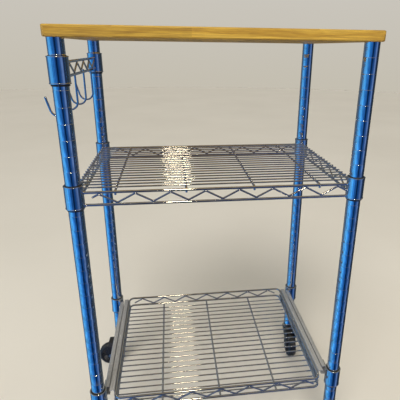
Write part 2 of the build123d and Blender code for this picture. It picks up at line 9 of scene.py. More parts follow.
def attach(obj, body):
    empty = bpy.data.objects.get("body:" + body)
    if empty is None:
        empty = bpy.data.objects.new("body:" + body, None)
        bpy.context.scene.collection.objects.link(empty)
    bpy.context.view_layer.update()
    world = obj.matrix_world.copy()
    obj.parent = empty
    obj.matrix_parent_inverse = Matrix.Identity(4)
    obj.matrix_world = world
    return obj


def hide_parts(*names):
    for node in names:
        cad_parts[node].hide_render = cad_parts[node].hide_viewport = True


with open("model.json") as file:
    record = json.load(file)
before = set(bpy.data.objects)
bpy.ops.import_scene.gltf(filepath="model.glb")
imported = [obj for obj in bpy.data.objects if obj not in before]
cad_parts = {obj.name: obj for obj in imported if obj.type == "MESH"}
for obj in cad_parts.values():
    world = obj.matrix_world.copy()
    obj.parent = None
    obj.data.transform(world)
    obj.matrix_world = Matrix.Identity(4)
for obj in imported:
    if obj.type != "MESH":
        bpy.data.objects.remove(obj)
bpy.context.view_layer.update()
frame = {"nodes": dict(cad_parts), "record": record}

# Looks of the rolling wire shelf cart. Shapes are written in millimetres in the cart's own
# frame (+Z up, -Y the front) and become objects in metres. Every piece stands for one CAD
# node, apart from the weld beads, which are extra.

MM = 0.001
RECORD = frame["record"]
SLOT_OF = {part["node"]: part["material_slot"] for part in RECORD["subparts"]}
BODY_OF = {node: body for body, nodes in RECORD["behaviour"]["bodies"].items() for node in nodes}

# ---- layout ----
POST_X, POST_Y = 244.0, 163.0
CORNERS = {
    "fl": (-POST_X, -POST_Y), "fr": (POST_X, -POST_Y),
    "bl": (-POST_X, POST_Y), "br": (POST_X, POST_Y),
}
TOP_HALF_X, TOP_HALF_Y = 259.5, 178.5
TOP_Z = (868.0, 885.0)
TOP_CORNER, TOP_EDGE = 6.0, 2.5

# ---- posts, collars and sleeves ----
POST_RADIUS, POST_BORE = 12.5, 11.4
POST_Z = {"lower": (88.0, 259.85), "upper": (260.15, 868.0)}
SEAM_Z = 260.0
GROOVE_PITCH, GROOVE_DEPTH, GROOVE_HALF = 25.4, 0.21, 0.55
GROOVE_MARGIN = 3.0
END_ROUND = 0.35
COLLAR_RADIUS, COLLAR_BORE, COLLAR_HEIGHT = 15.5, 14.0, 40.0
COLLAR_LIP, COLLAR_LIP_HEIGHT = 0.6, 2.0
COLLAR_WELD = 1.0          # how deep a frame wire's end sinks into a collar's wall
SLEEVE_OUTER, SLEEVE_INNER = 13.98, 12.52
SLEEVE_BELOW, SLEEVE_ABOVE, SLEEVE_SPLIT, SLEEVE_ROUND = 3.0, 0.8, 1.0, 0.4
HOOK_COLLAR_Z, SHELF_COLLAR_Z, SLIDE_COLLAR_Z = 802.0, 602.0, 174.0

# ---- wires ----
RIM, ZIGZAG, DECK, CROSS, HOOK = 2.4, 1.7, 1.4, 2.0, 1.8
WELD = 0.4
TRUSS_HEIGHT = 22.0
ZIGZAG_STEP, ZIGZAG_BEND, ZIGZAG_BEND_CUT = 29.75, 4.0, 0.45
CROSS_BEND, CROSS_FOOT = 4.0, 6.5
SHELF_BASE_Z, HOOK_BASE_Z, TRAY_BASE_Z = 606.0, 810.0, 177.0
SHELF_CROSS_X = (-178.5, -59.5, 59.5, 178.5)
TRAY_CROSS_X = (-119.0, 0.0, 119.0)
SHELF_DECK_GAPS, TRAY_DECK_GAPS = 20, 21
TRAY_X, TRAY_Y, TRAY_CORNER = 211.6, 174.0, 12.0
SHELF_ZIGZAG_START, SHELF_ZIGZAG_PEAK, TRAY_ZIGZAG_PEAK = -216.4, 33.0, 1.0
HOOK_Y = (-120.0, -40.0, 40.0, 120.0)
HOOK_BEND, HOOK_CENTRE_Z, HOOK_TIP_Z, HOOK_FLARE = 14.0, 761.0, 777.0, math.radians(15)
HOOK_OVERLAP, HOOK_SHANK_END = 4.0, 10.0       # above the rail's lower wire, above the bend's centre
HOOK_STEPS = 18

# ---- weld beads: radius, height in radii ----
FRAME_BEAD, FRAME_BEAD_OUT = (3.1, 0.95), 0.4  # and how far it stands off the collar
ZIGZAG_BEAD, CROSS_BEAD, HOOK_BEAD = (1.5, 0.6), (2.5, 0.8), (1.9, 1.2)
SHELF_DECK_BEAD, SHELF_DECK_BEAD_SUNK, TRAY_DECK_BEAD = (1.7, 0.5), 0.1, (1.6, 0.5)

# ---- slides ----
SHEET, SHEET_BEND, SHEET_EDGE = 1.2, 1.6, 0.25
OUTER_X, OUTER_WIDTH, OUTER_Z, OUTER_Y = 234.0, 9.0, (186.0, 207.0), 150.0
INNER_X, INNER_WIDTH, INNER_FOOT, INNER_Z, INNER_Y = 213.6, 10.0, 3.4, (176.0, 206.0), 160.0
INNER_BEND = 1.2
ROLLER_Y = 138.0
ROLLERS = {                # radius, near face, far face, place along Y, centre height
    "fixed": (8.5, 216.4, 223.2, -ROLLER_Y, 196.25),
    "moving": (9.0, 226.0, 231.8, ROLLER_Y, 196.25),
}
ROLLER_ROUND, ROLLER_GAP, ROLLER_END_GAP = 0.6, 0.05, 0.1
PIN_RADIUS, PIN_HEAD_RADIUS, PIN_HEAD = 2.5, 3.7, 0.8
TAB_X, TAB_Y, TAB_Z = (234.0, 236.0), (126.0, 151.2), (188.0, 205.0)
TAB_CORNER, TAB_EDGE = 3.0, 0.3
RIVET_Y, RIVET_RADIUS, RIVET_HEAD, RIVET_ROUND = (132.0, 142.0), 2.0, 0.8, 0.5

# ---- casters, drawn with the wheel trailing towards +X ----
TRAIL, WHEEL_RADIUS, WHEEL_HALF, TREAD_ROUND = 30.0, 31.75, 10.5, 5.0
HUB_RADIUS, RECESS_RADIUS, RECESS_DEPTH, WHEEL_BORE = 9.0, 24.0, 4.0, 4.06
PARTING_HALF, PARTING_DEPTH = 0.35, 0.15
RIBS_PER_SIDE, RIB_HALF, RIB_BELOW_RIM, RIB_ROUND = 6, 1.1, 1.4, 0.4
AXLE_RADIUS, AXLE_HEAD_RADIUS, AXLE_HEAD, AXLE_WASHER, AXLE_HEX = 4.0, 6.0, 2.5, 0.5, 5.7
THREAD_RADII, THREAD_STEP, THREAD_FROM = (2.5, 2.9), 0.25, 2.0
FORK_OUTER, FORK_SHEET, FORK_BEND, FORK_TOP = 13.5, 2.0, 3.0, (73.0, 76.5)
FORK_ARM = (                # side view of the sheet: trail distance and height
    (-13.0, 77.5), (31.0, 77.5), (42.0, 41.75), (37.0, 22.75), (23.0, 22.75), (14.0, 45.75), (-13.0, 68.0),
)
FORK_ARM_ROUND, FORK_LOW, FORK_REACH = 3.0, 10.0, (-20.0, 60.0)
FORK_CROWN = ((5.2, 72.9), (10.6, 72.9), (12.2, 73.4), (12.6, 74.6), (11.6, 77.0), (5.2, 77.0))
BOSS_RADIUS, BOSS_HEIGHT, BOSS_ROUND = 7.2, 0.5, 0.4
STEM_RADIUS, STEM_Z, STEM_ROUND = 5.0, (68.5, 108.0), 0.6
STEM_CAP = ((STEM_RADIUS, 77.0), (13.4, 77.0), (14.6, 77.3), (15.0, 78.0), (14.3, 78.9), (12.0, 79.6),
            (10.0, 80.0), (STEM_RADIUS, 80.0))
STEM_WASHER = ((STEM_RADIUS, 69.0), (7.2, 69.0), (8.0, 69.9), (8.0, 71.8), (7.2, 72.6), (STEM_RADIUS, 72.6))
NUT_RADIUS, NUT_Z, NUT_EDGE = 9.5, (80.0, 85.0), 0.6
SOCKET_RADIUS, SOCKET_Z, SOCKET_BODY, SOCKET_LIP = 13.6, (85.0, 112.0), 11.3, 0.7
CASTER_TURN = {"fl": math.pi, "fr": 0.0, "bl": math.pi, "br": -math.pi / 2}
BRAKES = ("fl", "fr")
PIVOT_X, PIVOT_Z, PIVOT_PIN, PIVOT_GAP = 26.0, 70.0, 2.0, 0.06
PEDAL_HALF, PEDAL_REACH, BARREL_RADIUS, PEDAL_SHEET, PEDAL_CORNER = 9.0, 58.0, 4.5, 2.5, 2.5
RIDGES, RIDGE_FROM, RIDGE_STEP, RIDGE_HALF, RIDGE_INSET = 6, 3.5, 3.2, 0.7, 1.5
RIDGE_HEIGHT, TREAD_BELOW = 1.0, 0.4           # both under the pedal's upper face
SHOE_X, SHOE_LOW, SHOE_BELOW, SHOE_INSET = (38.0, 44.0), 65.5, 1.2, 0.4

SHARP = math.radians(32)


# ---------------------------------------------------------------- shape building
class Shape:
    """Vertices and faces collected in millimetres."""

    def __init__(self):
        self.points, self.faces = [], []

    def add(self, points, faces, place=None):
        first = len(self.points)
        self.points += [place @ Vector(p) for p in points] if place else [Vector(p) for p in points]
        self.faces += [[first + i for i in face] for face in faces]

    def build(self, name, sharp=SHARP):
        mesh = bpy.data.meshes.new(name)
        mesh.from_pydata([p * MM for p in self.points], [], self.faces)
        work = bmesh.new()
        work.from_mesh(mesh)
        bmesh.ops.recalc_face_normals(work, faces=work.faces)
        work.to_mesh(mesh)
        work.free()
        mesh.shade_smooth()
        mesh.set_sharp_from_angle(angle=sharp)
        piece = bpy.data.objects.new(name, mesh)
        bpy.context.scene.collection.objects.link(piece)
        return piece


def skin(rings, closed_rows=False, closed_columns=True, caps=False):
    """Faces that join rows of points with equal counts, row to row."""
    points = [p for row in rings for p in row]
    width, rows = len(rings[0]), len(rings)
    faces = []
    for r in range(rows if closed_rows else rows - 1):
        here, there = r * width, (r + 1) % rows * width
        for c in range(width if closed_columns else width - 1):
            d = (c + 1) % width
            faces.append((here + c, here + d, there + d, there + c))
    if caps:
        faces.append(tuple(range(width)))
        faces.append(tuple((rows - 1) * width + c for c in range(width)))
    return points, faces


def along(origin, direction):
    """Placement whose local Z runs along a direction from an origin."""
    turn = Vector((0, 0, 1)).rotation_difference(Vector(direction)).to_matrix().to_4x4()
    return Matrix.Translation(Vector(origin)) @ turn


def lathe(shape, profile, place=None, segments=64, closed=True, arc=None):
    """Turn a (radius, height) profile about Z; an arc gives only part of the turn."""
    start, end = arc or (0.0, 2 * math.pi)
    count = segments if arc is None else segments + 1
    angles = [start + (end - start) * k / segments for k in range(count)]
    rows = [[(r * math.cos(a), r * math.sin(a), h) for r, h in profile] for a in angles]
    points, faces = skin(rows, closed_rows=arc is None, closed_columns=closed)
    if arc:
        faces += [tuple(range(len(profile))), tuple(range(len(points) - len(profile), len(points)))]
    shape.add(points, faces, place)


def solid_profile(low, high, radius, edge, steps=3):
    """Profile of a solid cylinder with rounded rims, closed on the axis by tiny radii."""
    bend = [math.pi / 2 * k / steps for k in range(steps + 1)]
    rim = [(radius - edge + edge * math.sin(a), edge - edge * math.cos(a)) for a in bend]
    return ([(0.01, low)] + [(r, low + h) for r, h in rim]
            + [(r, high - h) for r, h in reversed(rim)] + [(0.01, high)])


def tube_profile(low, high, outer, inner, edge):
    """Profile of a ring with rounded outer rims."""
    return [(inner, p[1]) if p[0] < inner else p for p in solid_profile(low, high, outer, edge)]


def rounded_path(points, bend, steps=6, closed=False):
    """Points with every corner turned into an arc of one radius."""
    points = [Vector(p) for p in points]
    ring = [points[-1]] + points + [points[0]] if closed else points
    path = [] if closed else [points[0]]
    for before, corner, after in zip(ring, ring[1:], ring[2:]):
        back, ahead = (before - corner).normalized(), (after - corner).normalized()
        half = back.angle(ahead) / 2
        if half > math.radians(88):
            path.append(corner)
            continue
        centre = corner + (back + ahead).normalized() * (bend / math.sin(half))
        reach = bend / math.tan(half)
        arm_in, arm_out = corner + back * reach - centre, corner + ahead * reach - centre
        path += [centre + arm_in.slerp(arm_out, k / steps).normalized() * bend for k in range(steps + 1)]
    return path if closed else path + [points[-1]]


END_DOME = ((0.0, 0.5), (0.12, 0.78), (0.34, 0.95), (0.6, 1.0), (0.8, 1.0))   # inset, radius in wire radii


def wire(shape, path, radius, sides=14, closed=False):
    """Round wire along a path, its cut ends tumbled round."""
    path = [Vector(p) for p in path]
    count = len(path)
    stations = []
    for k, point in enumerate(path):
        before = path[k - 1] if k or closed else point
        after = path[(k + 1) % count] if k < count - 1 or closed else point
        stations.append((point, (after - before).normalized(), radius))
    if not closed:
        head, tail = stations[0], stations[-1]
        domes = [(head[0] + head[1] * i * radius, head[1], w * radius) for i, w in END_DOME]
        ends = [(tail[0] - tail[1] * i * radius, tail[1], w * radius) for i, w in reversed(END_DOME)]
        stations = domes + stations[1:-1] + ends
    normal = stations[0][1].orthogonal().normalized()
    rows = []
    for point, tangent, size in stations:
        normal = (normal - tangent * normal.dot(tangent)).normalized()
        side = tangent.cross(normal)
        turn = [2 * math.pi * k / sides for k in range(sides)]
        rows.append([point + (normal * math.cos(a) + side * math.sin(a)) * size for a in turn])
    shape.add(*skin(rows, closed_rows=closed, caps=not closed))


def inset(outline, amount):
    """Closed outline moved inwards by mitred offsets (counter-clockwise outlines shrink)."""
    moved, count = [], len(outline)
    for k, (x, y) in enumerate(outline):
        (x0, y0), (x1, y1) = outline[k - 1], outline[(k + 1) % count]
        before, after = Vector((x - x0, y - y0)).normalized(), Vector((x1 - x, y1 - y)).normalized()
        normal = Vector((-before.y - after.y, before.x + after.x)).normalized()
        grow = max(0.4, normal.dot(Vector((-before.y, before.x))))
        moved.append((x + normal.x * amount / grow, y + normal.y * amount / grow))
    return moved


def prism(shape, outline, low, high, edge, place=None, steps=3):
    """Plate with rounded edges: an outline in XY between two heights."""
    area = sum(x0 * y1 - x1 * y0 for (x0, y0), (x1, y1) in zip(outline, outline[1:] + outline[:1]))
    outline = outline if area > 0 else outline[::-1]
    bend = [math.pi / 2 * k / steps for k in range(steps + 1)]
    rim = [(edge - edge * math.sin(a), edge - edge * math.cos(a)) for a in bend]
    levels = [(i, low + h) for i, h in rim] + [(i, high - h) for i, h in reversed(rim)]
    rows = [[(x, y, z) for x, y in inset(outline, i)] for i, z in levels]
    shape.add(*skin(rows, caps=True), place)


def flat(points, bend, steps=5):
    """Closed 2-D outline with rounded corners."""
    path = rounded_path([(x, y, 0) for x, y in points], bend, steps, closed=True)
    return [(p.x, p.y) for p in path]


def rectangle(x0, x1, y0, y1):
    return [(x0, y0), (x1, y0), (x1, y1), (x0, y1)]


def sheet_outline(path, thickness, bend):
    """Outline of bent sheet metal that follows an open 2-D centre line."""
    centre = [(p.x, p.y) for p in rounded_path([(x, y, 0) for x, y in path], bend, 5)]
    sides = []
    for sign in (1, -1):
        row = []
        for k, (x, y) in enumerate(centre):
            x0, y0 = centre[max(k - 1, 0)]
            x1, y1 = centre[min(k + 1, len(centre) - 1)]
            across = Vector((y0 - y1, x1 - x0)).normalized() * (sign * thickness / 2)
            row.append((x + across.x, y + across.y))
        sides.append(row)
    return sides[0] + sides[1][::-1]


XZ_ALONG_Y = Matrix(((1, 0, 0, 0), (0, 0, -1, 0), (0, 1, 0, 0), (0, 0, 0, 1)))   # outline (x, z)
YZ_ALONG_X = Matrix(((0, 0, 1, 0), (1, 0, 0, 0), (0, 1, 0, 0), (0, 0, 0, 1)))    # outline (y, z)


def hexagon(radius):
    return [(radius * math.cos(math.pi * k / 3), radius * math.sin(math.pi * k / 3)) for k in range(6)]


def bead(shape, point, radius, flatten=0.75):
    """Small weld bead."""
    place = Matrix.Translation(Vector(point))
    arc = [math.pi * k / 6 for k in range(7)]
    profile = [(max(0.02, radius * math.sin(a)), -radius * flatten * math.cos(a)) for a in arc]
    lathe(shape, profile, place, segments=10, closed=False)


# ---------------------------------------------------------------- materials
class Graph:
    """The node tree of a material or a world, and short ways to add its nodes."""

    def __init__(self, owner, shader, coordinates):
        owner.use_nodes = True
        self.tree = owner.node_tree
        self.surface = self.tree.nodes[shader]
        self.place = self.add("ShaderNodeTexCoord").outputs[coordinates]

    def add(self, kind, settings=None, **inputs):
        node = self.tree.nodes.new(kind)
        for key, value in (settings or {}).items():
            setattr(node, key, value)
        for key, value in inputs.items():
            self.feed(node.inputs[key.replace("_", " ")], value)
        return node

    def feed(self, socket, value):
        if isinstance(value, bpy.types.NodeSocket):
            self.tree.links.new(value, socket)
        else:
            socket.default_value = value

    def set(self, **inputs):
        for key, value in inputs.items():
            self.feed(self.surface.inputs[key.replace("_", " ")], value)

    def stretched(self, scale):
        """Coordinates scaled per axis, so that noise becomes streaks or grain."""
        return self.add("ShaderNodeMapping", Vector=self.place, Scale=scale).outputs["Vector"]

    def noise(self, scale, detail=4.0, where=None, distortion=0.0):
        node = self.add("ShaderNodeTexNoise", Vector=where or self.place, Scale=scale,
                        Detail=detail, Distortion=distortion)
        return node.outputs["Fac"]

    def ramp(self, factor, stops):
        """Colours, or grey values, at positions along a factor."""
        node = self.add("ShaderNodeValToRGB", Fac=factor)
        elements = node.color_ramp.elements
        while len(elements) < len(stops):
            elements.new(0.5)
        for element, (position, value) in zip(elements, stops):
            element.position = position
            element.color = (*value, 1) if isinstance(value, tuple) else (value, value, value, 1)
        return node.outputs["Color"]

    def math(self, operation, first, second=0.0):
        node = self.add("ShaderNodeMath", {"operation": operation})
        self.feed(node.inputs[0], first)
        self.feed(node.inputs[1], second)
        return node.outputs[0]

    def mix(self, factor, first, second, blend="MIX"):
        node = self.add("ShaderNodeMix", {"data_type": "RGBA", "blend_type": blend})
        self.feed(node.inputs["Factor"], factor)
        for socket, value in zip((node.inputs[6], node.inputs[7]), (first, second)):
            self.feed(socket, (*value, 1) if isinstance(value, tuple) else value)
        return node.outputs[2]

    def bump(self, height, strength, distance):
        node = self.add("ShaderNodeBump", Height=height, Strength=strength, Distance=distance)
        self.set(Normal=node.outputs["Normal"])


class Finish(Graph):
    """A material whose patterns follow each piece's own coordinates."""

    def __init__(self, name):
        self.material = bpy.data.materials.new(name)
        super().__init__(self.material, "Principled BSDF", "Object")


def make_chrome(name, colour, smudge_scale, ripple):
    """Bright plating: faint colour drift, smudges that dull it and a slow ripple."""
    g = Finish(name)
    smudge = g.noise(smudge_scale, 6.0, distortion=0.6)
    specks = g.noise(900.0, 2.0)
    dull = tuple(c * 0.82 for c in colour)
    clean = g.ramp(smudge, [(0.35, colour), (0.7, dull)])
    pits = g.ramp(specks, [(0.66, 1.0), (0.74, 0.72)])
    g.set(Base_Color=g.mix(1.0, clean, pits, "MULTIPLY"), Metallic=1.0)
    g.set(Roughness=g.ramp(smudge, [(0.3, 0.025), (0.75, 0.09)]))
    slow = g.noise(38.0, 2.0, g.stretched((1.0, 1.0, 0.35)))
    g.bump(slow, ripple, 0.0008)
    return g.material


def make_zinc():
    """Zinc plated sheet: soft spangle, drawing lines along the rail and rubbed patches."""
    g = Finish("zinc_plated_sheet")
    crystals = g.add("ShaderNodeTexVoronoi", Vector=g.place, Scale=210.0)
    spangle = g.ramp(crystals.outputs["Color"], [(0.2, 0.30), (0.8, 0.70)])
    lines = g.noise(60.0, 5.0, g.stretched((18.0, 0.6, 18.0)))
    rub = g.noise(14.0, 6.0, distortion=1.2)
    grey = g.ramp(lines, [(0.25, (0.36, 0.37, 0.39)), (0.8, (0.60, 0.60, 0.60))])
    frosted = g.mix(0.16, grey, spangle, "OVERLAY")
    g.set(Base_Color=g.mix(g.ramp(rub, [(0.55, 0.0), (0.8, 0.35)]), frosted, (0.38, 0.38, 0.39)))
    g.set(Metallic=0.45, Roughness=g.ramp(lines, [(0.2, 0.28), (0.8, 0.44)]))
    g.bump(lines, 0.25, 0.0002)
    return g.material


def make_bolt_steel():
    """Plated turned steel with patches of grime."""
    g = Finish("plated_bolt_steel")
    grime = g.noise(160.0, 6.0, distortion=0.8)
    turned = g.noise(240.0, 3.0, g.stretched((1.0, 1.0, 6.0)))
    g.set(Base_Color=g.ramp(grime, [(0.35, (0.55, 0.55, 0.56)), (0.75, (0.30, 0.28, 0.25))]))
    g.set(Metallic=0.95, Roughness=g.ramp(grime, [(0.3, 0.28), (0.8, 0.5)]))
    g.bump(turned, 0.2, 0.0002)
    return g.material


def make_moulded(name, colour, lift, roughness, dust):
    """Moulded or enamelled skin: fine grain, uneven gloss and a little dust."""
    g = Finish(name)
    skin_grain = g.noise(2600.0, 2.0)
    cloud = g.noise(45.0, 6.0, distortion=0.7)
    scuffs = g.noise(30.0, 8.0, g.stretched((1.0, 7.0, 1.0)), distortion=1.5)
    base = g.ramp(cloud, [(0.3, colour), (0.8, lift)])
    settled = g.ramp(scuffs, [(0.56, 0.0), (0.78, dust)])
    g.set(Base_Color=g.mix(settled, base, (0.34, 0.32, 0.29)))
    g.set(Roughness=g.ramp(cloud, [(0.3, roughness), (0.8, roughness + 0.16)]))
    g.bump(g.math("ADD", skin_grain, g.math("MULTIPLY", scuffs, 0.6)), 0.22, 0.0003)
    return g.material


STAVE_WIDTH, STAVE_LENGTH = 0.0446, 0.31


def make_wood():
    """Glued hardwood staves under satin lacquer: each stave keeps its own tone and grain."""
    g = Finish("lacquered_hardwood")
    split = g.add("ShaderNodeSeparateXYZ", Vector=g.place)
    row = g.math("FLOOR", g.math("DIVIDE", split.outputs["Y"], STAVE_WIDTH))
    shifted = g.math("ADD", split.outputs["X"], g.math("MULTIPLY", row, STAVE_LENGTH * 0.37))
    column = g.math("FLOOR", g.math("DIVIDE", shifted, STAVE_LENGTH))
    stave = g.add("ShaderNodeCombineXYZ", X=column, Y=row).outputs["Vector"]
    own = g.add("ShaderNodeTexWhiteNoise", {"noise_dimensions": "3D"}, Vector=stave)
    offset = g.add("ShaderNodeVectorMath", {"operation": "SCALE"}, Scale=3.0)
    g.feed(offset.inputs[0], own.outputs["Color"])
    moved = g.add("ShaderNodeVectorMath", {"operation": "ADD"})
    g.feed(moved.inputs[0], g.stretched((1.0, 14.0, 14.0)))
    g.feed(moved.inputs[1], offset.outputs["Vector"])
    fibre_place = g.add("ShaderNodeVectorMath", {"operation": "MULTIPLY"})
    g.feed(fibre_place.inputs[0], moved.outputs["Vector"])
    fibre_place.inputs[1].default_value = (1.6, 9.0, 9.0)
    bands = g.noise(6.5, 5.0, moved.outputs["Vector"], 0.9)
    fibres = g.noise(11.0, 7.0, fibre_place.outputs["Vector"], 0.3)
    pores = g.noise(30.0, 2.0, fibre_place.outputs["Vector"])
    tone = g.ramp(bands, [(0.30, (0.84, 0.55, 0.090)), (0.5, (0.66, 0.40, 0.052)),
                          (0.60, (0.48, 0.270, 0.032)), (0.74, (0.72, 0.45, 0.060))])
    streaked = g.mix(g.ramp(fibres, [(0.40, 0.0), (0.62, 0.8)]), tone, (0.36, 0.20, 0.030))
    porous = g.mix(g.ramp(pores, [(0.58, 0.0), (0.68, 0.6)]), streaked, (0.22, 0.11, 0.025))
    level = g.ramp(own.outputs["Value"], [(0.0, 0.86), (1.0, 1.08)])
    g.set(Base_Color=g.mix(1.0, porous, level, "MULTIPLY"))
    g.set(Roughness=g.ramp(fibres, [(0.3, 0.40), (0.8, 0.56)]), Coat_Weight=0.18, Coat_Roughness=0.25)
    across = g.math("ABSOLUTE", g.math("SUBTRACT", g.math("FRACT", g.math(
        "DIVIDE", split.outputs["Y"], STAVE_WIDTH)), 0.5))
    joint = g.math("GREATER_THAN", across, 0.494)
    height = g.math("SUBTRACT", g.math("MULTIPLY", fibres, 0.5), g.math("MULTIPLY", joint, 0.6))
    g.bump(height, 0.25, 0.0004)
    return g.material


def make_floor():
    """Pale matt floor with faint clouds."""
    g = Finish("pale_floor")
    cloud = g.noise(1.3, 5.0)
    grain = g.noise(90.0, 3.0)
    g.set(Base_Color=g.ramp(cloud, [(0.3, (0.72, 0.69, 0.63)), (0.7, (0.76, 0.73, 0.67))]))
    g.set(Roughness=g.ramp(grain, [(0.3, 0.55), (0.7, 0.75)]))
    return g.material


MATERIALS = {
    "wood": make_wood(),
    # The blue in the tube and collar plating colours is painted reflection of the blue surround, laid over
    # the plating's own colour; the wire plating keeps a near-neutral colour.
    "chrome_tube": make_chrome("chrome_tube_plating", (0.80, 0.86, 0.93), 55.0, 0.10),
    "chrome_collar": make_chrome("chrome_collar_plating", (0.78, 0.83, 0.90), 80.0, 0.14),
    "chrome_wire": make_chrome("chrome_wire_plating", (0.74, 0.75, 0.78), 120.0, 0.22),
    "zinc_steel": make_zinc(),
    "bolt_steel": make_bolt_steel(),
    "black_plastic": make_moulded("black_moulded_plastic", (0.012, 0.012, 0.014),
                                  (0.026, 0.026, 0.029), 0.38, 0.10),
    "black_enamel": make_moulded("black_stove_enamel", (0.014, 0.014, 0.016),
                                 (0.024, 0.024, 0.027), 0.26, 0.22),
    "white_plastic": make_moulded("white_moulded_nylon", (0.80, 0.79, 0.75),
                                  (0.70, 0.69, 0.66), 0.32, 0.25),
    "wheel_black": make_moulded("wheel_tread_black", (0.014, 0.014, 0.016),
                                (0.035, 0.034, 0.034), 0.45, 0.40),
}


def paint(piece, slot):
    piece.data.materials.clear()
    piece.data.materials.append(MATERIALS[slot])


def dress(shape, node, sharp=SHARP):
    """Make a collected shape the piece that stands for one CAD node."""
    piece = shape.build("fine_" + node, sharp)
    paint(piece, SLOT_OF[node])
    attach(piece, BODY_OF[node])
    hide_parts(node)
    return piece


# ---------------------------------------------------------------- wooden top
def make_wood_top():
    shape = Shape()
    outline = flat(rectangle(-TOP_HALF_X, TOP_HALF_X, -TOP_HALF_Y, TOP_HALF_Y), TOP_CORNER, 8)
    prism(shape, outline, *TOP_Z, TOP_EDGE, steps=5)
    dress(shape, "wood_top")


# ---------------------------------------------------------------- posts
def groove_levels(low, high):
    first = math.ceil((low + GROOVE_MARGIN - SEAM_Z) / GROOVE_PITCH)
    last = math.floor((high - GROOVE_MARGIN - SEAM_Z) / GROOVE_PITCH)
    return [SEAM_Z + k * GROOVE_PITCH for k in range(first, last + 1)]


def make_posts():
    """Grooved tubes; each groove is rolled in, so its section is a soft wave."""
    wave = [k / 4 for k in range(-4, 5)]
    for level, (low, high) in POST_Z.items():
        profile = [(POST_BORE, low), (POST_RADIUS - END_ROUND, low), (POST_RADIUS, low + END_ROUND)]
        for z in groove_levels(low, high):
            for t in wave:
                dip = GROOVE_DEPTH * (1 + math.cos(math.pi * t)) / 2
                profile.append((POST_RADIUS - dip, z + t * GROOVE_HALF))
        profile += [(POST_RADIUS, high - END_ROUND), (POST_RADIUS - END_ROUND, high), (POST_BORE, high)]
        for corner, (x, y) in CORNERS.items():
            shape = Shape()
            lathe(shape, profile, Matrix.Translation((x, y, 0)), segments=72)
            dress(shape, "post_%s_%s" % (level, corner))


# ---------------------------------------------------------------- collars and sleeves
def collar_profile(low):
    """Tube wall with a rolled lip at each rim."""
    lip, high = COLLAR_LIP_HEIGHT, low + COLLAR_HEIGHT
    bend = [math.pi * k / 8 for k in range(9)]
    roll = [(COLLAR_RADIUS + COLLAR_LIP * math.sin(a), lip / 2 - lip / 2 * math.cos(a)) for a in bend]
    return ([(COLLAR_BORE, low + END_ROUND), (COLLAR_BORE + END_ROUND, low)]
            + [(r, low + h) for r, h in roll] + [(r, high - h) for r, h in reversed(roll)]
            + [(COLLAR_BORE + END_ROUND, high), (COLLAR_BORE, high - END_ROUND)])


def make_collars(node, low, corners):
    shape = Shape()
    for corner in corners:
        x, y = CORNERS[corner]
        lathe(shape, collar_profile(low), Matrix.Translation((x, y, 0)))
        if node == "slide_collars":
            add_slide_tab(shape, 1 if x > 0 else -1, 1 if y > 0 else -1)
    dress(shape, node)


def add_slide_tab(shape, side_x, side_y):
    """Flat tab from a collar to the fixed rail."""
    outline = flat(rectangle(*sorted(side_y * v for v in TAB_Y), *TAB_Z), TAB_CORNER)
    prism(shape, outline, *sorted(side_x * v for v in TAB_X), TAB_EDGE, YZ_ALONG_X)


def make_sleeves(node, low, corners):
    """Split plastic sleeve: two half shells whose lower rim shows under the collar."""
    bottom, top = low - SLEEVE_BELOW, low + COLLAR_HEIGHT + SLEEVE_ABOVE
    profile = tube_profile(bottom, top, SLEEVE_OUTER, SLEEVE_INNER, SLEEVE_ROUND)
    gap = math.asin(SLEEVE_SPLIT / 2 / SLEEVE_INNER)
    shape = Shape()
    for corner in corners:
        place = Matrix.Translation((*CORNERS[corner], 0))
        for middle in (0.0, math.pi):
            arc = (middle - math.pi / 2 + gap, middle + math.pi / 2 - gap)
            lathe(shape, profile, place, segments=32, arc=arc)
    dress(shape, node)


# ---------------------------------------------------------------- wire work
def truss_levels(base):
    reach = RIM + ZIGZAG - WELD - ZIGZAG_BEND_CUT
    return base + reach, base + TRUSS_HEIGHT - reach


def zigzag_points(start, end, peak, base):
    """Zigzag between two cut ends, with an upper bend at the peak."""
    low, high = truss_levels(base)
    first, last = math.ceil((start - peak) / ZIGZAG_STEP), math.floor((end - peak) / ZIGZAG_STEP)
    points = []
    for u in [start] + [peak + k * ZIGZAG_STEP for k in range(first, last + 1)] + [end]:
        phase = abs(u - peak) / ZIGZAG_STEP % 2
        points.append((u, high - (high - low) * min(phase, 2 - phase)))
    return points


def zigzag(shape, points, to_space):
    path = rounded_path([to_space(u, z) for u, z in points], ZIGZAG_BEND, 5)
    wire(shape, path, ZIGZAG)


def evenly(half, gaps):
    return [-half + 2 * half * k / gaps for k in range(1, gaps)]


def weld_zigzag(beads, points, base, to_space):
    """A bead where each bend touches a frame wire."""
    low, high = truss_levels(base)
    for u, z in points[1:-1]:
        contact = base + RIM if z < (low + high) / 2 else base + TRUSS_HEIGHT - RIM
        bead(beads, to_space(u, contact), *ZIGZAG_BEAD)


